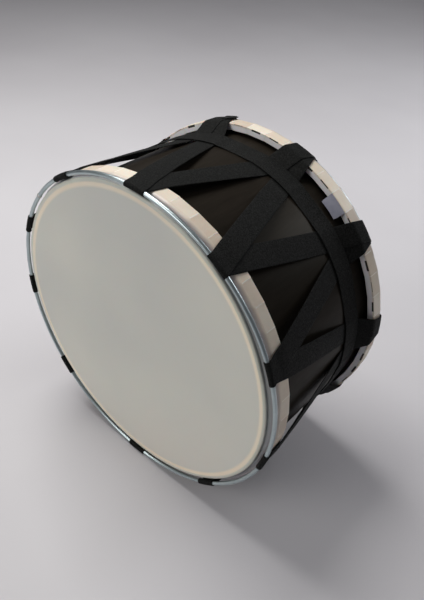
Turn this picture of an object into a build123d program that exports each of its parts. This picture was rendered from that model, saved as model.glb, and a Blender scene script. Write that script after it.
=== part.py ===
"""A laced two-headed bass drum lying on its side, in millimetres.

The drum's axis runs along Y, with the front head towards -Y. X is to the right and Z is up. The
origin lies on the floor under the middle of the drum. Angles around the drum are counted from
the top towards +X. Each end has its own depth, which is zero in the centre plane of its steel
ring and grows towards the middle of the shell, so that both ends are made by the same functions.
"""

from build123d import *
import math
import os

# Driving dimensions
ring_radii = {"front": 246.0, "rear": 234.5}     # centrelines of the steel tension rings
rod_radius = 3.0             # the round rod of both rings
ring_spacing = 267.0         # between the centre planes of the two rings
weld_radius = 3.7            # the bead of the butt weld that closes each ring
weld_angles = {"front": 308.0, "rear": 224.0}
shell_radius = 230.0         # outside of the wooden shell
shell_wall = 8.0
head_depth = -1.0            # outside of the playing face
film = 0.5                   # thickness of a head's plastic film
crest_round = 4.5            # the film's bend over the rim of the shell
collar_radii = {"front": 234.2, "rear": 230.8}   # the films' collars, wider than the shell
collar_round = 0.9           # the film's bend from the collar onto the hoop
hoop_front = 4.5             # the wrapped hoop's outward face
hoop_back = 30.8             # the wrapped hoop's face towards the middle of the shell
hoop_radius = 245.8          # outermost corners of the tabs
hoop_corner = 9.0            # rounding of the hoop's front outer corner
core_inner = 235.2
core_gap = 0.2               # between a hoop's wooden core and the film around it
core_back_round = 0.8
seam = 0.1                   # between the end of a head's film and the tabs cut from it
tab_count = 48
tab_film = 0.6
tab_gap = 0.25               # between neighbouring tabs
tuck_length = 12.0           # how far a tab's end reaches in between the shell and the core
slot_length = 18.5           # the opening in each tab's fold that its neighbour's tongue fills
slot_depth = 1.0
loose_tab = 5                # which of the rear hoop's tabs has sprung out
loose_reach = 19.0
loose_slope = 48.0           # its lean away from the hoop's inner face, in degrees
strap_width = 32.0           # black webbing, the same for the lacing and the girth strap
strap_film = 1.0
strap_slant = 15.0           # how far a run of lacing leans from the drum's axis, in degrees
slack = 0.15                 # air between pieces that lie on each other
fold_round = 1.2             # the lacing's turn from behind the ring onto the hoop
wrap_turn = 262              # how far round the ring's rod each wrap goes, in degrees
landing = 14.5               # depth at which the lacing from the front ring lies on the hoop
take_off = 44.0              # where the lacing leaves the rear hoop's rounding, in degrees
take_off_steps = 3           # flat pieces that follow the rounding up to there
edge_margin = 0.4            # how far past a hoop's edge the lacing bends down
girth_margin = 1.0           # how far either side of the girth strap the lacing is pressed
crossing = 78.0              # depth by which the two runs that share a loop have parted
girth_middle = 198.2         # depth of the girth strap's middle from the front ring
girth_lap_start = 236.0      # the sewn double layer at the girth strap's join
girth_lap_turn = 20.0
girth_lap_film = 1.2
girth_lap_sink = 0.2         # how far the double layer is joined into the layer under it
tail_width = 12.0            # the lacing's cut end, sewn onto one rear loop
tail_length = 24.0
tail_thickness = 1.0
tail_round = 2.0
tail_depth = 16.0            # its middle, from the rear ring
tail_shift = 15.2            # its middle, from the middle of the loop
front_loop_angles = [1, 34, 67, 104, 142, 180, 225, 262, 291, 326]

# Derived dimensions
tab_step = 360 / tab_count
tab_face = hoop_radius * math.cos(math.radians(tab_step / 2))
head_corner = tab_face - seam
head_edge = hoop_front + hoop_corner + seam / 2
tab_edge = head_edge + seam
core_outer = head_corner - film - core_gap
core_corner = hoop_corner - film - core_gap
core_front = hoop_front + film + core_gap
core_back = hoop_back - tab_film - slack
rim_round = crest_round - film - slack
rim_depth = head_depth + film + slack
tuck_radius = (core_inner - slack) * math.cos(math.radians(tab_step / 2)) - tab_film
wrap_radius = rod_radius + slack + strap_film / 2
axis_height = ring_radii["front"] + wrap_radius + strap_film / 2
under_radius = hoop_radius + slack + strap_film / 2
over_radius = under_radius + strap_film + slack
pressed_under = shell_radius + slack + strap_film / 2
pressed_over = pressed_under + strap_film + slack
girth_inner = pressed_over + strap_film / 2 + slack
corner_bend = hoop_corner + slack + strap_film / 2
corner_centre = (under_radius - corner_bend, hoop_front + hoop_corner)
strap_chord = strap_width / math.cos(math.radians(strap_slant))
axis = Axis((0, 0, axis_height), (0, 1, 0))

os.makedirs("parts", exist_ok=True)


def save(piece, name):
    """Label a finished piece and write it."""
    piece.part.label = name
    export_step(piece.part, f"parts/{name}.step")


def inward(end):
    """+1 where an end's depth grows along +Y, which is at the front, and -1 at the rear."""
    return 1 if end == "front" else -1


def profile(end, angle=0):
    """A half plane from the axis: x is the radius and y is the depth from that end's ring."""
    depthward = Vector(0, inward(end), 0)
    return Plane(
        origin=Vector(0, 0, axis_height) - depthward * ring_spacing / 2,
        x_dir=outward(angle),
        z_dir=outward(angle).cross(depthward),
    )


def outward(angle):
    """Unit vector away from the drum's axis."""
    turn = math.radians(angle)
    return Vector(math.sin(turn), 0, math.cos(turn))


def along_rim(angle):
    """Unit vector around the drum, towards larger angles."""
    turn = math.radians(angle)
    return Vector(math.cos(turn), 0, -math.sin(turn))


def spot(end, angle, radius, depth):
    """The point at an angle, a radius and a depth from one end's ring."""
    y = inward(end) * (depth - ring_spacing / 2)
    return Vector(0, y, axis_height) + outward(angle) * radius


def curved_strip(plane, centre, radius, first_angle, arc, lead_in=0):
    """A section of the webbing that follows an arc on a plane, and may lead in straight to it."""
    with BuildSketch(plane) as strip:
        with BuildLine():
            inside = CenterArc(centre, radius - strap_film / 2, first_angle, arc)
            outside = CenterArc(centre, radius + strap_film / 2, first_angle, arc)
            Line(inside @ 0, outside @ 0)
            if lead_in:
                ahead = Vector(lead_in, 0)
                Polyline(inside @ 1, (inside @ 1) - ahead, (outside @ 1) - ahead, outside @ 1)
            else:
                Line(inside @ 1, outside @ 1)
        make_face()
    return strip.sketch


# Shell: a wooden tube with rounded outer rims
with BuildPart() as shell:
    with BuildSketch(profile("front")):
        with BuildLine():
            rim = (shell_radius - rim_round, rim_depth)
            shoulder = (shell_radius, rim_depth + rim_round)
            Polyline(
                shoulder,
                (shell_radius, ring_spacing / 2),
                (shell_radius - shell_wall, ring_spacing / 2),
                (shell_radius - shell_wall, rim_depth),
                rim,
            )
            CenterArc((rim[0], shoulder[1]), rim_round, 270, 90)
        make_face()
    revolve(axis=axis)
    mirror(about=Plane.XZ)
save(shell, "shell")


def make_head(end):
    """Film stretched over the rim, down beside the shell and out over the hoop's front."""
    with BuildPart() as head:
        with BuildSketch(profile(end)):
            with BuildLine():
                FilletPolyline(
                    (0, head_depth),
                    (collar_radii[end], head_depth),
                    (collar_radii[end], hoop_front),
                    (head_corner, hoop_front),
                    (head_corner, head_edge),
                    radius=[crest_round, collar_round, hoop_corner],
                )
                offset(amount=film, side=Side.LEFT)
            make_face()
        revolve(axis=axis)
    return head


def make_core(end):
    """The wooden hoop that the film is folded around."""
    with BuildPart() as core:
        with BuildSketch(profile(end)):
            with BuildLine():
                FilletPolyline(
                    (core_inner, core_front),
                    (core_outer, core_front),
                    (core_outer, core_back),
                    (core_inner, core_back),
                    radius=[core_corner, core_back_round],
                )
                Line((core_inner, core_back), (core_inner, core_front))
            make_face()
        revolve(axis=axis)
    return core


def make_ring(end):
    """A bent steel rod, closed by a butt weld."""
    with BuildPart() as ring:
        with BuildSketch(profile(end)):
            with Locations((ring_radii[end], 0)):
                Circle(rod_radius)
        revolve(axis=axis)
        with Locations(spot(end, weld_angles[end], ring_radii[end], 0)):
            Sphere(weld_radius)
    return ring


def make_tab(end, is_loose):
    """One flat tab of film at the top of a hoop; a loose one is not folded over the hoop's face."""
    inside = tab_face - tab_film
    lean = math.radians(loose_slope)
    along = Vector(-math.cos(lean), math.sin(lean))
    across = Vector(math.sin(lean), math.cos(lean)) * tab_film
    tip = Vector(tab_face, hoop_back) + along * loose_reach
    folded = [
        (tab_face, tab_edge),
        (tab_face, hoop_back),
        (tuck_radius, hoop_back),
        (tuck_radius, hoop_back - tuck_length),
        (tuck_radius + tab_film, hoop_back - tuck_length),
        (tuck_radius + tab_film, hoop_back - tab_film),
        (inside, hoop_back - tab_film),
        (inside, tab_edge),
    ]
    sprung = [
        (tab_face, tab_edge),
        (tab_face, hoop_back),
        (tip.X, tip.Y),
        (tip.X - across.X, tip.Y - across.Y),
        (inside, hoop_back - tab_film),
        (inside, tab_edge),
    ]
    with BuildPart() as tab:
        with BuildSketch(profile(end)):
            with BuildLine():
                Polyline(sprung if is_loose else folded, close=True)
            make_face()
        extrude(amount=strap_width, both=True)
        for side in (-1, 1):
            edge = side * tab_step / 2
            miter = Plane(
                origin=Vector(0, 0, axis_height) - along_rim(edge) * side * tab_gap / 2,
                x_dir=(0, 1, 0),
                z_dir=along_rim(edge) * -side,
            )
            split(bisect_by=miter, keep=Keep.TOP)
        if not is_loose:
            with Locations(spot(end, 0, tab_face, hoop_back)):
                Box(slot_length, 2 * slot_depth, 2 * slot_depth, mode=Mode.SUBTRACT)
    return tab


def make_tabs(end, left_out):
    """The tabs all around one hoop, except those left out."""
    tab = make_tab(end, is_loose=False)
    places = [index for index in range(tab_count) if index not in left_out]
    with BuildPart() as tabs:
        add([tab.part.rotate(axis, index * tab_step) for index in places])
    return tabs


def fold_arc(end):
    """Centre (radius, depth) and radius of the lacing's quarter turn from a ring to the hoop.

    At the front the webbing turns sharply behind the ring. At the rear the ring is smaller, so
    the webbing lies on the hoop's face and follows the hoop's rounding.
    """
    if end == "front":
        return (ring_radii[end], wrap_radius + fold_round), fold_round
    return corner_centre, corner_bend


def lacing_route(start_end):
    """Places (depth, radius) along a run's leg, with the depth counted from its start ring.

    A run comes out from under its neighbour, leans across the shell and passes under the girth
    strap. At the far end it lies on its neighbour until it reaches the outside of the ring.
    """
    far = ring_spacing
    edge = hoop_back + edge_margin
    girth = girth_middle if start_end == "front" else far - girth_middle
    girth_near = girth - strap_width / 2 - girth_margin
    girth_far = girth + strap_width / 2 + girth_margin
    free_span = girth_middle - strap_width / 2 - girth_margin - edge
    parted = under_radius - (under_radius - pressed_under) * (crossing - edge) / free_span
    centre, bend = fold_arc(start_end)
    route = [(centre[1], centre[0] + bend)]
    if start_end == "front":
        route += [(landing, under_radius), (edge, under_radius)]
        route += [(crossing, parted), (girth_near, pressed_under)]
        route += [(far - crossing, pressed_over), (girth_far, pressed_over)]
        route += [(far - edge, over_radius)]
        over_bend = corner_bend + strap_film + slack
        for step in range(take_off_steps + 1):
            turn = math.radians(take_off * step / take_off_steps)
            ahead = over_bend * math.sin(turn)
            reach = over_bend * math.cos(turn)
            route += [(far - corner_centre[1] + ahead, corner_centre[0] + reach)]
        route += [(far, ring_radii["rear"] + wrap_radius)]
    else:
        route += [(edge, under_radius), (girth_near, pressed_under), (girth_far, pressed_under)]
        route += [(far - crossing, parted + strap_film + slack)]
        route += [(far - edge, over_radius), (far - landing, over_radius)]
        route += [(far, ring_radii["front"] + wrap_radius)]
    return route


def make_run(start_end, start_angle, finish_angle):
    """One run of webbing: its fold behind the start ring, its leg, and its wrap at the far ring."""
    finish_end = "rear" if start_end == "front" else "front"
    centre, bend = fold_arc(start_end)
    lead_in = centre[0] - ring_radii[start_end]
    fold_half = math.degrees(strap_chord / 2 / (centre[0] + bend))
    fold_plane = profile(start_end, start_angle - fold_half)
    fold = curved_strip(fold_plane, centre, bend, 0, -90, lead_in)
    wrap_half = math.degrees(strap_chord / 2 / (ring_radii[finish_end] + wrap_radius))
    wrap_plane = profile(finish_end, finish_angle - wrap_half)
    wrap = curved_strip(wrap_plane, (ring_radii[finish_end], 0), wrap_radius, 0, -wrap_turn)
    sections = []
    for depth, radius in lacing_route(start_end):
        share = (depth - centre[1]) / (ring_spacing - centre[1])
        angle = start_angle + (finish_angle - start_angle) * share
        half = math.degrees(strap_chord / 2 / radius)
        across = Plane(spot(start_end, 0, 0, depth), x_dir=(1, 0, 0), z_dir=(0, -1, 0))
        sections.append(curved_strip(across, (0, 0), radius, 90 - angle - half, 2 * half))
    with BuildPart() as run:
        loft(sections, ruled=True)
        revolve(fold, axis=axis, revolution_arc=2 * fold_half)
        revolve(wrap, axis=axis, revolution_arc=2 * wrap_half)
    return run


for end in ("front", "rear"):
    sprung_out = [loose_tab] if end == "rear" else []
    save(make_head(end), f"{end}_head")
    save(make_core(end), f"{end}_hoop_core")
    save(make_ring(end), f"{end}_tension_ring")
    save(make_tabs(end, sprung_out), f"{end}_hoop_tabs")

with BuildPart() as sprung_tab:
    add(make_tab("rear", is_loose=True).part.rotate(axis, loose_tab * tab_step))
save(sprung_tab, "loose_tab")

# Lacing: one run from each front loop to the next rear loop, and one from there to the next front
loop_count = len(front_loop_angles)
for loop in range(loop_count):
    here = front_loop_angles[loop]
    following = front_loop_angles[(loop + 1) % loop_count]
    if following < here:
        following += 360
    rear = (here + following) / 2
    save(make_run("front", here, rear), f"lacing_run_{2 * loop + 1:02d}")
    save(make_run("rear", rear, following), f"lacing_run_{2 * loop + 2:02d}")

# The lacing's cut end lies on the last rear loop and sticks out past its edge
tail_angle = (front_loop_angles[0] + 360 + front_loop_angles[-1]) / 2
tail_radius = over_radius + strap_film / 2 + slack + tail_thickness / 2
with BuildPart() as lacing_tail:
    on_loop = spot("rear", tail_angle, tail_radius, tail_depth)
    tail_place = on_loop + along_rim(tail_angle) * tail_shift
    with BuildSketch(Plane(origin=tail_place, x_dir=along_rim(tail_angle), z_dir=outward(tail_angle))):
        RectangleRounded(tail_length, tail_width, tail_round)
    extrude(amount=tail_thickness / 2, both=True)
save(lacing_tail, "lacing_tail")

# Girth strap: a closed band over the lacing, doubled where its ends are sewn together
with BuildPart() as girth_strap:
    with BuildSketch(profile("front")):
        with Locations((girth_inner + strap_film / 2, girth_middle)):
            Rectangle(strap_film, strap_width)
    revolve(axis=axis)
    lap_middle = girth_inner + strap_film - girth_lap_sink + girth_lap_film / 2
    lap_plane = Plane(
        origin=spot("front", girth_lap_start, lap_middle, girth_middle),
        x_dir=outward(girth_lap_start),
        z_dir=along_rim(girth_lap_start),
    )
    with BuildSketch(lap_plane):
        Rectangle(girth_lap_film, strap_width)
    revolve(axis=axis, revolution_arc=girth_lap_turn)
save(girth_strap, "girth_strap")
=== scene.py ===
"""A laced two-headed bass drum, lying on its side on a pale floor. All lengths are in metres.

The drum's axis runs along Y, with the front head towards -Y. Angles around the drum are counted
in degrees from the top towards +X. Each end has its own depth, which is zero in the centre plane
of its steel ring and grows towards the middle of the shell.
"""

import math
import random

import bmesh
import bpy
from mathutils import Matrix, Vector, noise


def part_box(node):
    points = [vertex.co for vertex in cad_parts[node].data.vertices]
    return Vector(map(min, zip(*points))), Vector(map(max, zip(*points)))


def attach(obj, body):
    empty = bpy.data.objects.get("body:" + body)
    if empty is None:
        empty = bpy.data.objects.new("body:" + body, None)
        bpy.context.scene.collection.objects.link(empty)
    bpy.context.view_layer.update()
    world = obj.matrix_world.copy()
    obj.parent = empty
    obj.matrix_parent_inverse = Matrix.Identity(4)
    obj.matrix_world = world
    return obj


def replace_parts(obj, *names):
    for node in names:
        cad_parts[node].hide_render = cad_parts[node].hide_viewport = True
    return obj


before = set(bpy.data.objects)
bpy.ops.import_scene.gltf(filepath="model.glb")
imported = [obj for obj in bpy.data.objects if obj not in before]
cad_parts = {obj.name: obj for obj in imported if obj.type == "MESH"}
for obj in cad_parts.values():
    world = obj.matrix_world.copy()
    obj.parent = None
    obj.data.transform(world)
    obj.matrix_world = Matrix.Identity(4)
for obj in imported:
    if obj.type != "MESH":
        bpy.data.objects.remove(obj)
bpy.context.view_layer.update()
random.seed(12)

MM = 0.001

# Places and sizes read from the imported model
ring_boxes = {end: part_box(f"{end}_tension_ring") for end in ("front", "rear")}
tabs_low, tabs_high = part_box("front_hoop_tabs")
head_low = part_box("front_head")[0]
shell_low, shell_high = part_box("shell")
girth_low, girth_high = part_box("girth_strap")

rod_radius = 3.0 * MM
axis_z = (ring_boxes["front"][0].z + ring_boxes["front"][1].z) / 2
ring_y = {end: (low.y + high.y) / 2 for end, (low, high) in ring_boxes.items()}
ring_radii = {end: (high.x - low.x) / 2 - rod_radius for end, (low, high) in ring_boxes.items()}
ring_spacing = ring_y["rear"] - ring_y["front"]
shell_radius = (shell_high.x - shell_low.x) / 2
tab_face = (tabs_high.x - tabs_low.x) / 2
hoop_back = tabs_high.y - ring_y["front"]
head_depth = head_low.y - ring_y["front"]
girth_depth = (girth_low.y + girth_high.y) / 2 - ring_y["front"]
girth_width = girth_high.y - girth_low.y

# The film of the heads and of the tabs that are folded over the hoops
film = 0.5 * MM
crest_round = 4.5 * MM
collar_round = 0.8 * MM
collar_radii = {"front": 234.2 * MM, "rear": 230.8 * MM}
hoop_front = 4.5 * MM
hoop_corner = 9.0 * MM
tab_start = 14.2 * MM        # where the cuts between the tabs begin
fold_corner = 0.9 * MM
tuck_radius = 235.0 * MM     # the hoop's inner face, where a tab's end is tucked in
tab_film = 0.55 * MM
tab_count = 48
tab_step = 360 / tab_count
tab_gap = 0.05 * MM
slot_half = 8.0 * MM
slot_reach = 2.3 * MM        # how far the slot reaches from the fold onto the inner face
loose_tab = 5
loose_reach = 19.0 * MM
loose_slope = math.radians(48)
loose_half_width = 15.9 * MM
loose_curl = 1.6 * MM
loose_cup = 0.5 * MM

# The webbing
strap_width = 32.0 * MM
strap_film = 1.12 * MM
strap_chord = strap_width / math.cos(math.radians(15))
lace_film = 1.0 * MM         # thickness that the layers of lacing are spaced by
slack = 0.15 * MM
layer = lace_film + slack
fold_round = 1.2 * MM        # how sharply a run turns from behind the front ring
wrap_turn = 262              # degrees that a run's end goes around its ring
landing = 14.5 * MM          # depth where a run leaves the hoop's outer face for the ring
take_off = 44.0              # degrees around the hoop's rounding before a run leaves for the ring
crossing = 78.0 * MM         # depth up to which two neighbouring runs lie over each other
press_margin = 1.0 * MM      # how far past the girth strap's sides it holds the lacing down
edge = hoop_back + 0.4 * MM  # depth where a run leaves the hoop's back edge
hoop_outer = tab_face / math.cos(math.radians(tab_step / 2))
wrap_radius = rod_radius + slack + lace_film / 2
under_radius = hoop_outer + slack + lace_film / 2
over_radius = under_radius + layer
pressed_under = shell_radius + slack + lace_film / 2
pressed_over = pressed_under + layer
corner_bend = hoop_corner + slack + lace_film / 2
corner_centre = (under_radius - corner_bend, hoop_front + hoop_corner)
front_loop_angles = [1, 34, 67, 104, 142, 180, 225, 262, 291, 326]  # unevenly spaced
slackest = -50               # the angle where the lacing is pulled in least
slack_spread = 28
slack_rise = 8.0 * MM
girth_lap = (236.0, 256.0)
stitch_margin = 1.5          # degrees between the lap's ends and its stitches
tail_stitch_gap = 2.0 * MM

# The steel rings
weld_angles = {"front": 308.0, "rear": 224.0}
weld_radius = 3.7 * MM

# The camera's place in front ring radii from that ring's centre, its heading, and its roll in degrees
camera_place = Vector((1.946, -1.793, 2.485))
camera_heading = Vector((-0.4767, 0.6070, -0.6329))
camera_roll = -4.8

# How light or dark each tab is
tab_tones = {end: [random.random() for _ in range(tab_count)] for end in ("front", "rear")}


# Geometry helpers

def inward(end):
    """+1 where an end's depth grows along +Y, which is at the front, and -1 at the rear."""
    return 1 if end == "front" else -1


def spot(end, angle, radius, depth):
    """The point at an angle, a radius and a depth from one end's ring."""
    turn = math.radians(angle)
    y = ring_y[end] + inward(end) * depth
    return Vector((radius * math.sin(turn), y, axis_z + radius * math.cos(turn)))


def wobble(seed, place, scale):
    """A smooth random number between about -1 and 1."""
    return noise.noise(Vector((place * scale, seed * 7.31, seed * 1.7)))


def blend_in(low, high, value):
    """0 below low, 1 above high, and a smooth step between them."""
    share = min(max((value - low) / (high - low), 0), 1)
    return share * share * (3 - 2 * share)


def make_object(name, mesh, material, smooth_angle=40):
    """A mesh object that rides on the drum's only body."""
    mesh.shade_smooth()
    mesh.set_sharp_from_angle(angle=math.radians(smooth_angle))
    piece = bpy.data.objects.new(name, mesh)
    bpy.context.scene.collection.objects.link(piece)
    mesh.materials.append(material)
    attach(piece, "root")
    return piece


def finish_bmesh(name, builder):
    """Turns a bmesh into a mesh with all its faces pointing out."""
    bmesh.ops.recalc_face_normals(builder, faces=builder.faces)
    mesh = bpy.data.meshes.new(name)
    builder.to_mesh(mesh)
    builder.free()
    return mesh


def arc_points(centre, radius, first, last, count):
    """Points (radius, depth) on an arc; 0 degrees points away from the axis, 90 inwards."""
    for step in range(count):
        turn = math.radians(first + (last - first) * step / (count - 1))
        yield centre[0] + radius * math.cos(turn), centre[1] + radius * math.sin(turn)


def lathe(name, end, outline, steps=336, facets=None, tones=None, swells=None):
    """A closed outline of (radius, depth) points, turned about the drum's axis.

    For each outline point, facets give its share of the flattening towards the polygon of the tabs,
    and swells its shares of the two parts of the crest's unevenness. Tones are one for each tab.
    """
    builder = bmesh.new()
    tone_layer = builder.verts.layers.float.new("tone") if tones else None
    zone_layer = builder.verts.layers.float.new("zone") if swells else None
    rings = []
    for step in range(steps):
        angle = 360 * step / steps
        local = (angle + tab_step / 2) % tab_step - tab_step / 2
        tab = round(angle / tab_step) % tab_count
        ring = []
        for index, (radius, depth) in enumerate(outline):
            share = facets[index] if facets else 0
            reach = radius + share * radius * (1 / math.cos(math.radians(local)) - 1)
            if swells:
                parts = zip(swells[index], crest_swells(end, angle))
                reach += sum(part_share * swell for part_share, swell in parts)
            vertex = builder.verts.new(spot(end, angle, reach, depth))
            if swells:
                vertex[zone_layer] = radius
            if tones:
                vertex[tone_layer] = 0.5 + (tones[tab] - 0.5) * share
            ring.append(vertex)
        rings.append(ring)
    for step, ring in enumerate(rings):
        following = rings[(step + 1) % steps]
        for index in range(len(outline)):
            after = (index + 1) % len(outline)
            corners = [ring[index], ring[after], following[after], following[index]]
            builder.faces.new(corners)
    bmesh.ops.remove_doubles(builder, verts=builder.verts, dist=1e-6)
    return finish_bmesh(name, builder)


def bump(angle, middle, spread):
    """A smooth hump that is 1 at an angle and fades out on both sides of it."""
    away = (angle - middle + 180) % 360 - 180
    return math.exp(-((away / spread) ** 2))


def crest_swells(end, angle):
    """How much further out than an even circle the film stands over the rim, and at its collar.

    The front head's film is pulled tightest at one side and stands off at the opposite one.
    """
    if end == "rear":
        return 0.0, 0.0
    over_rim = (1.0 - 4.4 * bump(angle, 74, 30) + 2.2 * bump(angle, -5, 32)) * MM
    at_collar = (6.0 * bump(angle, -85, 72) + 5.2 * bump(angle, 165, 60)) * MM
    return over_rim, at_collar


def tube(name, sections, weave_rows=None):
    """A closed skin over a row of closed sections, each a list of points, with capped ends.

    The weave rows give each point's place on the webbing, across and along it in millimetres.
    """
    builder = bmesh.new()
    weave_layer = None
    if weave_rows:
        weave_layer = builder.verts.layers.float_vector.new("weave")
    rings = []
    for row, section in enumerate(sections):
        ring = []
        for column, point in enumerate(section):
            vertex = builder.verts.new(point)
            if weave_layer:
                vertex[weave_layer] = weave_rows[row][column]
            ring.append(vertex)
        rings.append(ring)
    for ring, following in zip(rings, rings[1:]):
        for index in range(len(ring)):
            after = (index + 1) % len(ring)
            builder.faces.new([ring[index], ring[after], following[after], following[index]])
    builder.faces.new(rings[0])
    builder.faces.new(rings[-1])
    return finish_bmesh(name, builder)


# Materials

def new_material(name, **shader_values):
    """A material with a Principled shader, whose uniform values are set on its own sockets."""
    material = bpy.data.materials.new(name)
    material.use_nodes = True
    shader = material.node_tree.nodes["Principled BSDF"]
    for socket, value in shader_values.items():
        shader.inputs[socket.replace("_", " ")].default_value = value
    return material, material.node_tree, shader


def node(tree, kind, settings=None, **inputs):
    """A node of a kind; each input is a value, or a socket to link to it."""
    made = tree.nodes.new(kind)
    for key, value in (settings or {}).items():
        setattr(made, key, value)
    for key, value in inputs.items():
        socket = made.inputs[int(key[1:])] if key[0] == "i" and key[1:].isdigit() else made.inputs[key]
        if isinstance(value, bpy.types.NodeSocket):
            tree.links.new(value, socket)
        else:
            socket.default_value = value
    return made


def ramp(tree, factor, stops):
    """A colour ramp with (place, colour) stops."""
    made = node(tree, "ShaderNodeValToRGB", Fac=factor)
    elements = made.color_ramp.elements
    while len(elements) < len(stops):
        elements.new(0.5)
    for element, (place, colour) in zip(elements, stops):
        element.position = place
        element.color = (*colour, 1)
    return made.outputs["Color"]


def calc(tree, operation, first, second=0.0, clamp=False):
    """A maths node's result."""
    made = node(tree, "ShaderNodeMath", {"operation": operation, "use_clamp": clamp}, i0=first, i1=second)
    return made.outputs[0]


def mix_colours(tree, factor, first, second, mode="MIX"):
    """A mix of two colours."""
    made = node(tree, "ShaderNodeMix", {"data_type": "RGBA", "blend_type": mode}, i0=factor)
    for socket, value in ((made.inputs[6], first), (made.inputs[7], second)):
        if isinstance(value, bpy.types.NodeSocket):
            tree.links.new(value, socket)
        else:
            socket.default_value = (*value, 1)
    return made.outputs[2]


def object_place(tree):
    """The point on the object, in metres."""
    return node(tree, "ShaderNodeTexCoord").outputs["Object"]


def cloudy(tree, scale, detail=4, place=None, roughness=0.55):
    """Noise over the object, from 0 to 1."""
    place = place or object_place(tree)
    made = node(tree, "ShaderNodeTexNoise", Vector=place, Scale=scale, Detail=detail, Roughness=roughness)
    return made.outputs["Fac"]


def axis_distance(tree):
    """The distance of a point from the drum's axis."""
    parts = node(tree, "ShaderNodeSeparateXYZ", Vector=object_place(tree))
    height = calc(tree, "SUBTRACT", parts.outputs["Z"], axis_z)
    side_square = calc(tree, "POWER", parts.outputs["X"], 2.0)
    return calc(tree, "SQRT", calc(tree, "ADD", side_square, calc(tree, "POWER", height, 2.0)))


def stored(tree, name):
    """A number that the mesh stores at each of its points."""
    return node(tree, "ShaderNodeAttribute", {"attribute_name": name}).outputs["Fac"]


def spread_over(tree, value, low, high):
    """A value from 0 to 1, spread over the range from low to high."""
    limits = {"To Min": low, "To Max": high}
    return node(tree, "ShaderNodeMapRange", Value=value, **limits).outputs[0]


def share_between(tree, value, start, stop):
    """0 where a value is at the start, and 1 where it is at the stop."""
    limits = {"From Min": start, "From Max": stop}
    return node(tree, "ShaderNodeMapRange", Value=value, **limits).outputs[0]


def weighted(tree, first, first_weight, second, second_weight):
    """The sum of two values, each times its weight."""
    first_part = calc(tree, "MULTIPLY", first, first_weight)
    return calc(tree, "ADD", first_part, calc(tree, "MULTIPLY", second, second_weight))


def roughened(tree, shader, roughness):
    """Links a roughness to the shader."""
    tree.links.new(roughness, shader.inputs["Roughness"])


def coloured(tree, shader, colour):
    """Links a colour to the shader."""
    tree.links.new(colour, shader.inputs["Base Color"])


def bumped(tree, shader, height, strength, distance):
    """Gives the shader a bumpy surface."""
    relief = node(tree, "ShaderNodeBump", Height=height, Strength=strength, Distance=distance)
    tree.links.new(relief.outputs["Normal"], shader.inputs["Normal"])


def shell_material():
    """Dark brown-black satin lacquer over wood, with faint grain along the drum."""
    material, tree, shader = new_material(
        "shell_lacquer", Coat_Weight=0.04, Coat_Roughness=0.24, Specular_IOR_Level=0.06,
        Specular_Tint=(0.90, 0.84, 0.60, 1))
    place = object_place(tree)
    stretched = node(tree, "ShaderNodeMapping", Vector=place, Scale=(1.0, 0.12, 1.0))
    grain = cloudy(tree, 150, 6, stretched.outputs[0], 0.65)
    patches = cloudy(tree, 9, 3)
    colour = ramp(tree, grain, [(0.30, (0.0090, 0.0068, 0.0056)), (0.70, (0.0165, 0.0128, 0.0102))])
    colour = mix_colours(tree, calc(tree, "MULTIPLY", patches, 0.5), colour, (0.0170, 0.0150, 0.0098))
    coloured(tree, shader, colour)
    roughened(tree, shader, spread_over(tree, cloudy(tree, 35, 5), 0.34, 0.50))
    bumped(tree, shader, grain, 0.10, 0.0004)
    return material


def head_material(end):
    """Coated film: matt white in the middle, cream over the rim, then milky, then dark grey down the
    collar as painted shade, all under soft blotches of painted sheen and painted shade.
    """
    material, tree, shader = new_material(
        f"{end}_head_film", Specular_IOR_Level=0.35, Subsurface_Weight=0.08, Subsurface_Scale=0.002)
    start, stop = collar_radii[end] - 14 * MM, collar_radii[end] + 1 * MM
    share = share_between(tree, stored(tree, "zone"), start, stop)
    fuzz = calc(tree, "MULTIPLY", calc(tree, "SUBTRACT", cloudy(tree, 60, 3), 0.5), 0.035)
    place = calc(tree, "ADD", share, fuzz)
    white = (0.700, 0.690, 0.642)
    cream = (0.960, 0.840, 0.680)
    milky = (0.700, 0.700, 0.630)
    # painted shade: the collar, which falls into shade towards the ring, is coloured dark grey
    collar_painted_shade = (0.245, 0.255, 0.262)
    zones = ramp(tree, place, [
        (0.26, white), (0.48, cream), (0.68, cream),
        (0.76, milky), (0.87, milky), (0.94, collar_painted_shade)])
    speckle = cloudy(tree, 900, 2)
    # painted sheen and painted shade: large soft blotches, lighter and warmer in places, darker and cooler
    # in others
    clouds = cloudy(tree, 2.8, 2)
    tone = weighted(tree, speckle, 0.12, clouds, 0.88)
    painted_sheen_tints = ramp(tree, tone, [
        (0.34, (0.845, 0.860, 0.865)), (0.50, (0.950, 0.955, 0.930)), (0.66, (1.000, 0.965, 0.935))])
    colour = mix_colours(tree, 1.0, zones, painted_sheen_tints, "MULTIPLY")
    coloured(tree, shader, colour)
    rough = ramp(tree, place, [(0.20, (0.72,) * 3), (0.60, (0.42,) * 3)])
    roughened(tree, shader, rough)
    bumped(tree, shader, speckle, 0.12, 0.0002)
    return material


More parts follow.
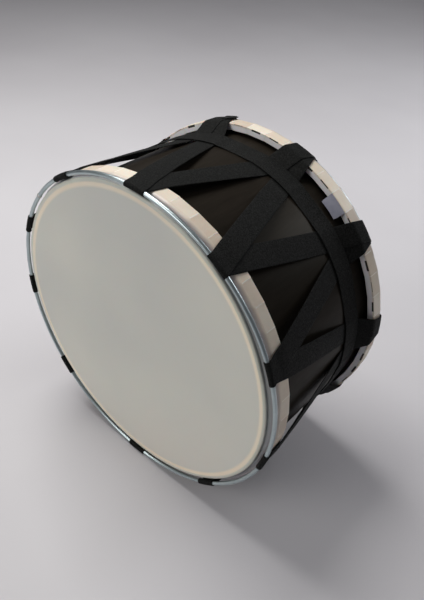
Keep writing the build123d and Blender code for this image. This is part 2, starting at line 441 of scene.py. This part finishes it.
def rounding_material():
    """The film bent over a hoop's front corner: dark grey inside and lilac grey further out, both painted
    shade, then the film's own cream.
    """
    material, tree, shader = new_material(
        "bent_film", Specular_IOR_Level=0.45, Subsurface_Weight=0.08, Subsurface_Scale=0.002)
    tone = stored(tree, "tone")
    clouds = cloudy(tree, 45, 4)
    streaks = cloudy(tree, 240, 5, None, 0.7)
    mixed = weighted(tree, tone, 0.6, clouds, 0.4)
    share = share_between(tree, stored(tree, "zone"), tab_face - hoop_corner, tab_face)
    # painted shade: dark grey where the ring shades the hoop's front, lilac grey over the rounding's
    # shaded turn, then cream
    zones = ramp(tree, share, [
        (0.00, (0.245, 0.252, 0.262)), (0.35, (0.270, 0.265, 0.278)), (0.72, (0.400, 0.362, 0.378)),
        (0.92, (0.580, 0.515, 0.460)), (1.00, (0.690, 0.595, 0.490))])
    shade = ramp(tree, mixed, [(0.2, (0.86,) * 3), (0.8, (1.0,) * 3)])
    colour = mix_colours(tree, 1.0, zones, shade, "MULTIPLY")
    coloured(tree, shader, colour)
    roughened(tree, shader, spread_over(tree, streaks, 0.26, 0.46))
    bumped(tree, shader, weighted(tree, clouds, 1.0, streaks, 0.4), 0.18, 0.0005)
    return material


def tab_material():
    """The film's folded margin: cream and a little translucent, each tab with its own tone, and painted
    pale cool light on the back faces of the folds.
    """
    material, tree, shader = new_material(
        "tab_film", Specular_IOR_Level=0.45, Subsurface_Weight=0.15, Subsurface_Scale=0.002)
    tone = stored(tree, "tone")
    clouds = cloudy(tree, 45, 4)
    streaks = node(tree, "ShaderNodeMapping", Vector=object_place(tree), Scale=(1.0, 0.15, 1.0))
    scuffs = cloudy(tree, 260, 5, streaks.outputs[0], 0.7)
    mixed = weighted(tree, tone, 0.55, clouds, 0.40)
    colour = ramp(tree, mixed, [
        (0.15, (0.500, 0.400, 0.310)), (0.50, (0.640, 0.545, 0.430)), (0.85, (0.760, 0.690, 0.580))])
    colour = mix_colours(tree, calc(tree, "MULTIPLY", scuffs, 0.20), colour, (0.83, 0.80, 0.76))
    cut = share_between(tree, stored(tree, "side"), 0.94, 0.985)
    light_edge = calc(tree, "MULTIPLY", cut, calc(tree, "ADD", cloudy(tree, 22, 2), 0.1), True)
    colour = mix_colours(tree, light_edge, colour, (0.90, 0.87, 0.82))
    # painted light: the fold's faces turned back towards the shell are coloured pale cool lilac white, for
    # the bluish sky light they catch
    pale = share_between(tree, axis_distance(tree), tab_face - 0.4 * MM, tab_face - 3.0 * MM)
    colour = mix_colours(tree, pale, colour, (0.80, 0.765, 0.775))
    coloured(tree, shader, colour)
    roughened(tree, shader, spread_over(tree, scuffs, 0.34, 0.58))
    bumped(tree, shader, weighted(tree, clouds, 1.0, scuffs, 0.4), 0.18, 0.0005)
    return material


def flap_material():
    """The same film where it stands free over the dark shell and lets the dark through."""
    material, tree, shader = new_material(
        "loose_film", Roughness=0.40, Specular_IOR_Level=0.45, Alpha=0.93)
    clouds = cloudy(tree, 60, 4)
    colour = ramp(tree, clouds, [(0.3, (0.235, 0.240, 0.300)), (0.7, (0.330, 0.335, 0.400))])
    coloured(tree, shader, colour)
    bumped(tree, shader, clouds, 0.12, 0.0005)
    return material


def rod_material():
    """Zinc-plated steel rod: bright, with drawing marks and a faint bloom."""
    material, tree, shader = new_material("galvanised_rod", Metallic=1.0)
    bloom = cloudy(tree, 70, 5)
    marks = cloudy(tree, 1400, 2)
    colour = ramp(tree, bloom, [
        (0.25, (0.370, 0.435, 0.450)), (0.55, (0.430, 0.500, 0.515)), (0.80, (0.490, 0.555, 0.565))])
    coloured(tree, shader, colour)
    mixed = weighted(tree, bloom, 0.9, marks, 0.1)
    roughened(tree, shader, spread_over(tree, mixed, 0.27, 0.34))
    bumped(tree, shader, marks, 0.02, 0.00005)
    return material


def weld_material():
    """Grey weld metal, in darker rough spots and lighter smooth ones."""
    material, tree, shader = new_material("weld_bead", Metallic=0.9)
    spots = cloudy(tree, 500, 4)
    colour = ramp(tree, spots, [(0.3, (0.30, 0.29, 0.28)), (0.7, (0.62, 0.62, 0.60))])
    coloured(tree, shader, colour)
    rough = ramp(tree, spots, [(0.3, (0.5,) * 3), (0.7, (0.22,) * 3)])
    roughened(tree, shader, rough)
    bumped(tree, shader, spots, 0.5, 0.0005)
    return material


def hoop_wood_material():
    """Wood coloured nearly black as painted shade, so that the slots of the tabs look like shadowed gaps;
    it is seen only through those slots.
    """
    material, tree, shader = new_material("hoop_wood", Roughness=0.7)
    grain = cloudy(tree, 200, 5)
    # painted shade: far darker than the wood is, standing in for the shadow deep inside the slots
    colour = ramp(tree, grain, [(0.3, (0.016, 0.012, 0.009)), (0.7, (0.034, 0.025, 0.019))])
    coloured(tree, shader, colour)
    bumped(tree, shader, grain, 0.2, 0.0005)
    return material


def webbing_material():
    """Black woven webbing: ribs along its length, crossed by picks in a broken twill."""
    material, tree, shader = new_material(
        "black_webbing", Sheen_Weight=0.01, Sheen_Roughness=0.5, Specular_IOR_Level=0.06)
    rib_pitch, pick_pitch = 1.3, 1.9    # in millimetres, as the weave layer is
    weave = node(tree, "ShaderNodeAttribute", {"attribute_name": "weave"})
    parts = node(tree, "ShaderNodeSeparateXYZ", Vector=weave.outputs["Vector"])
    across, along = parts.outputs["X"], parts.outputs["Y"]
    rib_turn = calc(tree, "MULTIPLY", across, 2 * math.pi / rib_pitch)
    pick_turn = calc(tree, "MULTIPLY", along, 2 * math.pi / pick_pitch)
    ribs = calc(tree, "MULTIPLY", calc(tree, "ADD", calc(tree, "COSINE", rib_turn), 1.0), 0.5)
    step = calc(tree, "FLOOR", calc(tree, "DIVIDE", across, rib_pitch))
    shifted = calc(tree, "ADD", pick_turn, calc(tree, "MULTIPLY", step, math.pi / 2))
    picks = calc(tree, "MULTIPLY", calc(tree, "ADD", calc(tree, "COSINE", shifted), 1.0), 0.5)
    height = calc(tree, "MULTIPLY", ribs, calc(tree, "ADD", calc(tree, "MULTIPLY", picks, 0.6), 0.4))
    fibre_place = node(tree, "ShaderNodeMapping", Vector=weave.outputs["Vector"], Scale=(6.0, 0.8, 1.0))
    fibres = cloudy(tree, 1.0, 4, fibre_place.outputs[0], 0.7)
    # random soft patches tinted greenish grey
    greenish_patches = cloudy(tree, 14, 4)
    specks = calc(tree, "MULTIPLY", calc(tree, "SUBTRACT", cloudy(tree, 520, 2), 0.5), 1.9)
    tone = calc(tree, "ADD", weighted(tree, height, 0.55, fibres, 0.45), specks, True)
    colour = ramp(tree, tone, [(0.15, (0.00240, 0.00240, 0.00252)), (0.85, (0.01680, 0.01740, 0.01668))])
    colour = mix_colours(tree, calc(tree, "MULTIPLY", greenish_patches, 0.30), colour, (0.0108, 0.0120, 0.0105))
    coloured(tree, shader, colour)
    roughened(tree, shader, spread_over(tree, tone, 0.78, 0.52))
    bumped(tree, shader, weighted(tree, height, 1.0, fibres, 0.3), 0.55, 0.0005)
    return material


def thread_material():
    """Dark bonded sewing thread."""
    material, tree, shader = new_material("thread", Roughness=0.55, Sheen_Weight=0.2)
    twist = node(tree, "ShaderNodeTexWave", Vector=object_place(tree), Scale=900.0, Distortion=2.0)
    colour = ramp(tree, twist.outputs["Fac"], [(0.2, (0.010, 0.010, 0.011)), (0.8, (0.045, 0.045, 0.048))])
    coloured(tree, shader, colour)
    bumped(tree, shader, twist.outputs["Fac"], 0.3, 0.0002)
    return material


def floor_material():
    """Pale matt paper."""
    material, tree, shader = new_material("floor_paper", Roughness=0.75, Specular_IOR_Level=0.25)
    clouds = cloudy(tree, 1.3, 3)
    colour = ramp(tree, clouds, [(0.3, (0.550, 0.537, 0.560)), (0.7, (0.600, 0.590, 0.612))])
    coloured(tree, shader, colour)
    bumped(tree, shader, cloudy(tree, 700, 2), 0.05, 0.0003)
    return material


# Shell

def build_shell(material):
    """The wooden tube, with its rims rounded under the film."""
    rim_round = crest_round - film - slack
    wall = 8 * MM
    inside = shell_radius - wall
    rim_depth = shell_low.y - ring_y["front"]
    turn_centre = (shell_radius - rim_round, rim_depth + rim_round)
    front_rim = list(arc_points(turn_centre, rim_round, 0, -90, 8))
    rear_rim = [(radius, ring_spacing - depth) for radius, depth in reversed(front_rim)]
    outline = front_rim + [(inside, rim_depth), (inside, ring_spacing - rim_depth)] + rear_rim
    mesh = lathe("shell_body", "front", outline)
    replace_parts(make_object("shell_body", mesh, material), "shell")


# Heads

def build_head(end, skin, folded):
    """The film from its centre over the rim, down the collar and out over the hoop's rounding."""
    crest = (collar_radii[end] - crest_round, head_depth + crest_round)
    collar = (collar_radii[end] + collar_round, hoop_front - collar_round)
    corner = (tab_face - hoop_corner, hoop_front + hoop_corner)
    flat_radii = (0.01, 40, 80, 120, 160, 195, 215)
    flat = [(radius * MM, head_depth) for radius in flat_radii]
    outer = flat + list(arc_points(crest, crest_round, -90, 0, 12))
    outer += list(arc_points(collar, collar_round, 180, 90, 6))
    outer += list(arc_points(corner, hoop_corner, -90, 0, 14))
    outer += [(tab_face, tab_start)]
    inner = [(tab_face - film, tab_start)]
    inner += list(arc_points(corner, hoop_corner - film, 0, -90, 14))
    inner += list(arc_points(collar, collar_round + film, 90, 180, 6))
    inner += list(arc_points(crest, crest_round - film, 0, -90, 12))
    inner += [(radius, depth + film) for radius, depth in reversed(flat)]
    facets = [blend_in(corner[0], tab_face - 1.5 * MM, radius) for radius, _ in outer + inner]
    swells = []
    for radius, _ in outer + inner:
        fade = 1 - blend_in(collar[0], corner[0], radius)
        over_rim = blend_in(flat[-2][0], crest[0], radius) * fade
        swells.append((over_rim, blend_in(crest[0], collar_radii[end], radius) * fade))
    mesh = lathe(f"{end}_film", end, outer + inner, tab_count * 8, facets, tab_tones[end], swells)
    piece = make_object(f"{end}_film", mesh, skin)
    mesh.materials.append(folded)
    for face in mesh.polygons:
        middle = face.center
        depth = (middle.y - ring_y[end]) * inward(end)
        if depth > collar[1] and math.hypot(middle.x, middle.z - axis_z) > corner[0]:
            face.material_index = 1
    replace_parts(piece, f"{end}_head")


# Hoops: the film's margin is cut into tabs, which are folded over a wooden hoop

def tab_profile(is_folded, opening):
    """Points from the cut round to the hoop's inner face, with the slot opened by some share.

    Each is (radius, depth, outward radius, outward depth, whether the slot starts there).
    """
    depths = (tab_start, 17 * MM, 20 * MM, 23 * MM, 26 * MM)
    points = [(tab_face, depth, 1, 0, False) for depth in depths]
    bend = (tab_face - fold_corner, hoop_back - fold_corner)
    for step in range(6):
        turn = math.radians(90 * step / 5)
        outwards = (math.cos(turn), math.sin(turn))
        place = [bend[index] + fold_corner * outwards[index] for index in (0, 1)]
        points.append((*place, *outwards, step >= 2))
    if is_folded:
        slot_end = fold_corner + slot_reach * opening
        points += [(tab_face - slot_end, hoop_back, 0, 1, False)]
        points += [(tab_face - inset * MM, hoop_back, 0, 1, False) for inset in (4, 6.5, 9)]
        tuck = (tuck_radius + fold_corner, hoop_back - fold_corner)
        for radius, depth in arc_points(tuck, fold_corner, 90, 180, 5):
            points.append((radius, depth, 0, 1, False))
        points += [(tuck_radius, hoop_back - 5 * MM, 0, 1, False)]
    return points


def add_tab(builder, tone_layer, side_layer, end, index, is_folded):
    """One tab as a thin solid, with the slot that is cut in its fold."""
    half = tab_step / 2 - math.degrees(tab_gap / tab_face)
    slot_end = math.degrees(slot_half / tab_face) / half
    places = [-1, -0.9, -slot_end, -0.35, 0, 0.35, slot_end, 0.9, 1]
    lift = random.uniform(0.10, 0.35) * MM
    tone = tab_tones[end][index]
    profile = tab_profile(is_folded, random.choice((0.1, 0.6, 1.0, 1.2)))
    grid = []
    for radius, depth, out_radius, out_depth, _ in profile:
        grown = blend_in(tab_start, hoop_back, depth)
        row = []
        for place in places:
            angle = index * tab_step + place * half
            reach = radius / math.cos(math.radians(place * half))
            raised = lift * (0.5 + 0.5 * place) * grown
            point = spot(end, angle, reach + out_radius * raised, depth + out_depth * raised)
            vertex = builder.verts.new(point)
            vertex[tone_layer] = tone
            vertex[side_layer] = abs(place)
            row.append(vertex)
        grid.append(row)
    faces = []
    for row, (*_, slot_starts) in enumerate(profile[:-1]):
        for column in range(len(places) - 1):
            is_middle = abs(places[column] + places[column + 1]) / 2 < slot_end
            if is_folded and slot_starts and is_middle:
                continue
            faces.append(builder.faces.new([
                grid[row][column], grid[row][column + 1],
                grid[row + 1][column + 1], grid[row + 1][column]]))
    bmesh.ops.recalc_face_normals(builder, faces=faces)
    middle = faces[0].calc_center_median()
    away = middle - Vector((0, middle.y, axis_z))
    thickness = tab_film if faces[0].normal.dot(away) > 0 else -tab_film
    made = bmesh.ops.solidify(builder, geom=faces, thickness=thickness)
    for face in made["geom"]:
        if isinstance(face, bmesh.types.BMFace):
            for vertex in face.verts:
                vertex[tone_layer] = tone


def build_tabs(end, material):
    """All the tabs around one hoop."""
    builder = bmesh.new()
    tone_layer = builder.verts.layers.float.new("tone")
    side_layer = builder.verts.layers.float.new("side")
    for index in range(tab_count):
        is_loose = end == "rear" and index == loose_tab
        add_tab(builder, tone_layer, side_layer, end, index, not is_loose)
    mesh = finish_bmesh(f"{end}_folded_tabs", builder)
    piece = make_object(f"{end}_folded_tabs", mesh, material, 30)
    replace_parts(piece, f"{end}_hoop_tabs")


def build_loose_tab(material):
    """The one tab that has sprung loose and stands over the shell, curling a little."""
    rows, columns = 12, 10
    sections = []
    for row in range(rows + 1):
        share = row / rows
        run = loose_reach * share
        curl = loose_curl * share * share
        radius = tab_face - 0.3 * MM - run * math.cos(loose_slope) + curl
        depth = hoop_back - 0.2 * MM + run * math.sin(loose_slope)
        narrowing = 1 - 0.05 * blend_in(0.75, 1.0, share)
        top, bottom = [], []
        for column in range(columns + 1):
            place = 2 * column / columns - 1
            across = place * loose_half_width * narrowing
            angle = loose_tab * tab_step + math.degrees(across / tab_face)
            cup = loose_cup * (1 - place * place) * share
            top.append(spot("rear", angle, radius + cup, depth))
            bottom.append(spot("rear", angle, radius + cup - 0.4 * MM, depth - 0.2 * MM))
        sections.append(top + bottom[::-1])
    mesh = tube("sprung_tab", sections)
    piece = make_object("sprung_tab", mesh, material, 50)
    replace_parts(piece, "loose_tab")


# Steel rings

def build_ring(end, material, bead_material):
    """A bent rod whose ends are welded together."""
    rod = list(arc_points((ring_radii[end], 0), rod_radius, 0, 345, 24))
    mesh = lathe(f"{end}_rod", end, rod, 360)
    piece = make_object(f"{end}_rod", mesh, material)
    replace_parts(piece, f"{end}_tension_ring")
    builder = bmesh.new()
    place = spot(end, weld_angles[end], ring_radii[end], 0)
    made = bmesh.ops.create_uvsphere(builder, u_segments=28, v_segments=18, radius=weld_radius)
    for vertex in made["verts"]:
        lump = 1 + 0.09 * noise.noise(vertex.co * 900) + 0.05 * noise.noise(vertex.co * 2100)
        vertex.co = vertex.co * lump + place
    mesh = finish_bmesh(f"{end}_weld", builder)
    make_object(f"{end}_weld", mesh, bead_material, 60)


# Webbing

def rounded_path(corners, reach):
    """Points (depth, radius) along straight stretches whose corners are rounded off."""
    points = [corners[0]]
    for before, corner, after in zip(corners, corners[1:], corners[2:]):
        before, corner, after = Vector(before), Vector(corner), Vector(after)
        near = min(reach, (corner - before).length * 0.45, (after - corner).length * 0.45)
        start = corner + (before - corner).normalized() * near
        end = corner + (after - corner).normalized() * near
        for step in range(6):
            share = step / 5
            first = start.lerp(corner, share)
            second = corner.lerp(end, share)
            points.append(tuple(first.lerp(second, share)))
    points.append(corners[-1])
    return points


def evenly(points, spacing):
    """The same path with points no further apart than the spacing."""
    made = [points[0]]
    for before, after in zip(points, points[1:]):
        gap = math.dist(before, after)
        count = max(1, math.ceil(gap / spacing))
        for step in range(1, count + 1):
            share = step / count
            made.append(tuple(a + (b - a) * share for a, b in zip(before, after)))
    return [p for p, q in zip(made, made[1:]) if math.dist(p, q) > 1e-7] + [made[-1]]


def fold_arc(end):
    """Centre (radius, depth) and radius of the lacing's quarter turn from a ring to the hoop.

    At the front the webbing turns sharply behind the ring. At the rear the ring is smaller, so
    the webbing lies on the hoop's face and follows the hoop's rounding.
    """
    if end == "front":
        return (ring_radii[end], wrap_radius + fold_round), fold_round
    return corner_centre, corner_bend


def slack_lift(angle):
    """How much less the lacing is pulled in at an angle; it is slackest left of the top."""
    return slack_rise * bump(angle, slackest, slack_spread)


def pressed(end, depth):
    """How far the girth strap pulls in the lacing at a depth: 0 at the hoops and 1 under it."""
    front_depth = depth if end == "front" else ring_spacing - depth
    front_span = girth_depth - strap_width / 2 - edge
    rear_span = ring_spacing - girth_depth - strap_width / 2 - edge
    share = min((front_depth - edge) / front_span, (ring_spacing - edge - front_depth) / rear_span)
    return min(max(share, 0), 1)


def lace_route(start_end):
    """Corners (depth, radius) of a run's leg, from its fold to the far ring's outside."""
    far = ring_spacing
    girth = girth_depth if start_end == "front" else far - girth_depth
    held = strap_width / 2 + press_margin
    near_side = girth - held
    far_side = girth + held
    free_span = girth_depth - held - edge
    parted = under_radius - (under_radius - pressed_under) * (crossing - edge) / free_span
    corner_out = 0.35 * MM
    centre, bend = fold_arc(start_end)
    route = [(centre[1], centre[0] + bend)]
    if start_end == "front":
        route += [(landing, under_radius), (edge, under_radius), (crossing, parted)]
        route += [(near_side, pressed_under), (far - crossing, pressed_over)]
        route += [(far_side, pressed_over), (far - edge - corner_out, over_radius + corner_out)]
        over_bend = corner_bend + layer
        for step in range(7):
            turn = math.radians(take_off * step / 6)
            depth = far - corner_centre[1] + over_bend * math.sin(turn)
            route += [(depth, corner_centre[0] + over_bend * math.cos(turn))]
        route += [(far, ring_radii["rear"] + wrap_radius)]
    else:
        route += [(edge + corner_out, under_radius + corner_out)]
        route += [(near_side, pressed_under), (far_side, pressed_under)]
        route += [(far - crossing, parted + layer)]
        route += [(far - edge, over_radius), (far - landing, over_radius)]
        route += [(far, ring_radii["front"] + wrap_radius)]
    return route


def lace_centre(start_end):
    """The whole centre line of a run: fold, leg and wrap, as (depth, radius) points."""
    far_radius = ring_radii["rear" if start_end == "front" else "front"]
    centre, bend = fold_arc(start_end)
    steps = max(7, round(3 * bend / MM))
    fold = [(depth, radius) for radius, depth in arc_points(centre, bend, -90, 0, steps)]
    lead_in = centre[0] - ring_radii[start_end]
    if lead_in > 0.1 * MM:
        fold = [(fold[0][0], fold[0][1] - lead_in)] + fold
    wrap = [
        (ring_spacing - depth, radius)
        for radius, depth in arc_points((far_radius, 0), wrap_radius, 0, -wrap_turn, 30)
    ]
    leg = evenly(rounded_path(lace_route(start_end), 3 * MM), 3.0 * MM)
    return fold[:-1] + leg + wrap[1:]


def strap_section(half_width, thickness):
    """The outline (across, height) of the webbing, with its soft selvages."""
    places = [-1, -0.985, -0.95, -0.85, -0.6, -0.3, 0, 0.3, 0.6, 0.85, 0.95, 0.985, 1]
    depths = [0.30, 0.72, 0.96, 1.0, 0.97, 1.0, 0.98, 1.0, 0.97, 1.0, 0.96, 0.72, 0.30]
    top = [(p * half_width, d * thickness / 2) for p, d in zip(places, depths)]
    return top + [(across, -height) for across, height in reversed(top)]


def strap_mesh(name, end, centre, angles, seed, half_width):
    """Webbing along a centre line (depth, radius) with an angle for each of its points."""
    outline = strap_section(half_width, strap_film)
    sections, weave_rows = [], []
    travelled = 0.0
    for index, ((depth, radius), angle) in enumerate(zip(centre, angles)):
        before = centre[max(index - 1, 0)]
        after = centre[min(index + 1, len(centre) - 1)]
        heading = Vector((after[0] - before[0], after[1] - before[1])).normalized()
        normal = Vector((-heading.y, heading.x))
        if index:
            travelled += math.dist(centre[index - 1], (depth, radius))
        sway = 0.45 * MM * wobble(seed, travelled, 28)
        breathe = 1 + 0.008 * wobble(seed + 5, travelled, 60)
        section, row = [], []
        for across, height in outline:
            place_depth = depth + normal.x * height
            place_radius = radius + normal.y * height
            turn = math.degrees((across * breathe + sway) / radius)
            place_radius += slack_lift(angle + turn) * pressed(end, depth)
            section.append(spot(end, angle + turn, place_radius, place_depth))
            row.append(Vector((across / MM, travelled / MM + seed * 13.7, 0)))
        sections.append(section)
        weave_rows.append(row)
    return tube(name, sections, weave_rows)


def run_angles(start_end, start_angle, finish_angle, centre):
    """The angle of each point of a run, which leans evenly from one loop to the other."""
    fold_depth = fold_arc(start_end)[0][1]
    reached = False
    for depth, _ in centre:
        reached = reached or depth >= ring_spacing
        share = (depth - fold_depth) / (ring_spacing - fold_depth)
        share = 1 if reached else min(max(share, 0), 1)
        yield start_angle + (finish_angle - start_angle) * share


def lacing_runs():
    """Start end, start angle and finish angle of each run, in the order of their nodes."""
    count = len(front_loop_angles)
    for loop in range(count):
        here = front_loop_angles[loop]
        following = front_loop_angles[(loop + 1) % count]
        following += 360 if following < here else 0
        rear = (here + following) / 2
        yield "front", here, rear
        yield "rear", rear, following


def build_lacing(material):
    """The twenty runs of webbing between the rings."""
    for index, (start_end, start_angle, finish_angle) in enumerate(lacing_runs()):
        centre = lace_centre(start_end)
        angles = list(run_angles(start_end, start_angle, finish_angle, centre))
        name = f"webbing_run_{index + 1:02d}"
        mesh = strap_mesh(name, start_end, centre, angles, index + 1, strap_chord / 2)
        piece = make_object(name, mesh, material, 35)
        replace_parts(piece, f"lacing_run_{index + 1:02d}")


def girth_radius(angle, leg_angles):
    """The taut girth strap lies on the shell, and rides up over each leg of the lacing."""
    lying = shell_radius + 0.2 * MM + strap_film / 2
    raised = pressed_over + lace_film / 2 + strap_film / 2
    leg_half = math.degrees(strap_chord / 2 / raised)
    span = math.degrees(math.sqrt(2 * (raised - lying) / raised))
    height = 0.0
    for leg in leg_angles:
        away = abs((angle - leg + 180) % 360 - 180) - leg_half
        height = max(height, (1 - min(max(away / span, 0), 1)) ** 2)
    return lying + (raised - lying) * height + slack_lift(angle)


def build_girth(material, thread):
    """The strap around the drum that pulls the lacing in, with its sewn lap."""
    leg_angles = []
    for start_end, start_angle, finish_angle in lacing_runs():
        depth = girth_depth if start_end == "front" else ring_spacing - girth_depth
        leg_angles.append(start_angle + (finish_angle - start_angle) * depth / ring_spacing)
    outline = strap_section(girth_width / 2, strap_film)
    steps = 720
    sections, weave_rows = [], []
    for step in range(steps + 1):
        angle = 360 * step / steps
        base = girth_radius(angle, leg_angles)
        turn = math.radians(angle)
        around = Vector((math.sin(turn), math.cos(turn), 3))
        sway = 0.5 * MM * noise.noise(around * 1.6)
        section, row = [], []
        for across, height in outline:
            section.append(spot("front", angle, base + height, girth_depth + across + sway))
            row.append(Vector((across / MM, turn * base / MM, 0)))
        sections.append(section)
        weave_rows.append(row)
    builder = bmesh.new()
    builder.from_mesh(tube("girth", sections, weave_rows))
    caps = [face for face in builder.faces if len(face.verts) > 4]
    bmesh.ops.delete(builder, geom=caps, context="FACES_ONLY")
    bmesh.ops.remove_doubles(builder, verts=builder.verts, dist=1e-6)
    mesh = finish_bmesh("girth_webbing", builder)
    piece = make_object("girth_webbing", mesh, material, 35)
    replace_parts(piece, "girth_strap")
    build_girth_lap(leg_angles, outline, material, thread)


def build_girth_lap(leg_angles, outline, material, thread):
    """The strap's free end over its start, and the stitches that join them."""
    first, last = girth_lap
    steps = 60
    sections, weave_rows = [], []
    for step in range(steps + 1):
        angle = first + (last - first) * step / steps
        base = girth_radius(angle, leg_angles) + strap_film * 0.98
        section, row = [], []
        for across, height in outline:
            section.append(spot("front", angle, base + height, girth_depth + across))
            row.append(Vector((across / MM, math.radians(angle) * base / MM + 3.1, 0)))
        sections.append(section)
        weave_rows.append(row)
    make_object("girth_lap", tube("girth_lap", sections, weave_rows), material, 35)
    places = []
    half = girth_width / 2 - 3 * MM
    start = first + stitch_margin
    span = last - stitch_margin - start
    long_row, short_row = 22, 9
    for index in range(long_row):
        share = index / (long_row - 1)
        angle = start + span * share
        for across in (-half, half):
            places.append((angle, across, 90))
        places.append((angle, half * (2 * share - 1), 68))
        places.append((angle, -half * (2 * share - 1), 112))
    for index in range(short_row):
        share = index / (short_row - 1)
        for angle in (start, start + span):
            places.append((angle, half * (2 * share - 1), 0))
    builder = bmesh.new()
    for angle, across, turn in places:
        top = girth_radius(angle, leg_angles) + strap_film * 1.5
        add_stitch(builder, "front", angle, top, girth_depth + across, turn)
    make_object("girth_stitches", finish_bmesh("girth_stitches", builder), thread, 60)


def add_stitch(builder, end, angle, radius, depth, turn):
    """One stitch: a short grain of thread lying on the webbing."""
    made = bmesh.ops.create_uvsphere(builder, u_segments=8, v_segments=6, radius=0.35 * MM)
    stretch = Matrix.Diagonal((3.4, 1.0, 0.8, 1.0))
    aim = Matrix.Rotation(math.radians(turn - 90), 4, "Z")
    around = Matrix.Rotation(math.radians(angle), 4, "Y")
    place = Matrix.Translation(spot(end, angle, radius, depth))
    for vertex in made["verts"]:
        vertex.co = place @ around @ aim @ stretch @ vertex.co


def build_tail(material, thread):
    """The lacing's cut end, sewn onto the rear loop and sticking out past its edge."""
    loop_angle = (front_loop_angles[0] + 360 + front_loop_angles[-1]) / 2
    half_width = 6 * MM
    middle_depth = 16 * MM
    base = over_radius + lace_film / 2 + strap_film / 2 + 0.1 * MM
    first, length = 0.6 * MM, 22 * MM
    outline = strap_section(half_width, strap_film)
    sections, weave_rows = [], []
    for step in range(17):
        share = step / 16
        along = first + length * share
        lift = 0.2 * MM * blend_in(0.70, 1.0, share)
        pinch = 1 - 0.50 * blend_in(0.72, 1.0, share)
        angle = loop_angle + math.degrees(along / base)
        section, row = [], []
        for across, height in outline:
            depth = middle_depth - 2.5 * MM * share + across * pinch
            section.append(spot("rear", angle, base + lift + height, depth))
            row.append(Vector((across / MM, along / MM, 0)))
        sections.append(section)
        weave_rows.append(row)
    mesh = tube("lacing_end", sections, weave_rows)
    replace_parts(make_object("lacing_end", mesh, material, 35), "lacing_tail")
    builder = bmesh.new()
    for index in range(6):
        for across in (-3.6 * MM, 3.6 * MM):
            along = first + 1.5 * MM + tail_stitch_gap * index
            angle = loop_angle + math.degrees(along / base)
            add_stitch(builder, "rear", angle, base + strap_film / 2, middle_depth + across, 90)
    make_object("tail_stitches", finish_bmesh("tail_stitches", builder), thread, 60)


# Studio

def build_studio():
    """A pale floor, soft light from above and from the front, a lit patch behind, and a dim sky."""
    bpy.ops.mesh.primitive_plane_add(size=12)
    floor = bpy.context.object
    floor.name = "floor"
    floor.data.materials.append(floor_material())
    world = bpy.data.worlds.new("studio")
    bpy.context.scene.world = world
    world.use_nodes = True
    sky = world.node_tree.nodes["Background"]
    sky.inputs["Color"].default_value = (0.96, 0.95, 1.0, 1)
    sky.inputs["Strength"].default_value = 0.15
    add_light("key", (-0.95, 0.10, 2.0), (0, 0, axis_z), 1.1, 38, (1.0, 0.985, 0.96))
    add_light("fill", (-1.1, -2.4, 1.5), (0, ring_y["front"], axis_z), 1.6, 30, (1.0, 0.985, 0.95))
    add_light("backdrop", (0.75, 1.95, 1.2), (0.45, 1.6, 0), 1.2, 20, (0.97, 0.98, 1.0))


def add_light(name, place, target, size, power, colour):
    """A square soft box that faces a target."""
    data = bpy.data.lights.new(name, "AREA")
    data.size = size
    data.energy = power
    data.color = colour
    light = bpy.data.objects.new(name, data)
    light.location = place
    aim = Vector(target) - light.location
    light.rotation_euler = aim.to_track_quat("-Z", "Y").to_euler()
    bpy.context.scene.collection.objects.link(light)


def build_camera():
    """The camera looks down on the drum from its front right, turned a little about its aim."""
    data = bpy.data.cameras.new("camera")
    data.sensor_width = 36
    data.lens = 37.2
    camera = bpy.data.objects.new("camera", data)
    front_ring = Vector((0, ring_y["front"], axis_z))
    place = front_ring + ring_radii["front"] * camera_place
    forward = camera_heading.normalized()
    level = forward.cross(Vector((0, 0, 1))).normalized()
    right = Matrix.Rotation(math.radians(camera_roll), 3, forward) @ level
    up = right.cross(forward)
    camera.matrix_world = Matrix.Translation(place) @ Matrix(
        (right, up, -forward)).transposed().to_4x4()
    bpy.context.scene.collection.objects.link(camera)
    bpy.context.scene.camera = camera


def build_drum():
    """Every piece of the drum."""
    webbing = webbing_material()
    thread = thread_material()
    folded = tab_material()
    rounding = rounding_material()
    rod = rod_material()
    bead = weld_material()
    wood = hoop_wood_material()
    build_shell(shell_material())
    for end in ("front", "rear"):
        build_head(end, head_material(end), rounding)
        build_tabs(end, folded)
        build_ring(end, rod, bead)
        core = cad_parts[f"{end}_hoop_core"]
        core.data.materials.clear()
        core.data.materials.append(wood)
    build_loose_tab(flap_material())
    build_lacing(webbing)
    build_girth(webbing, thread)
    build_tail(webbing, thread)


build_studio()
build_camera()
build_drum()
bpy.context.scene.view_settings.view_transform = "Standard"
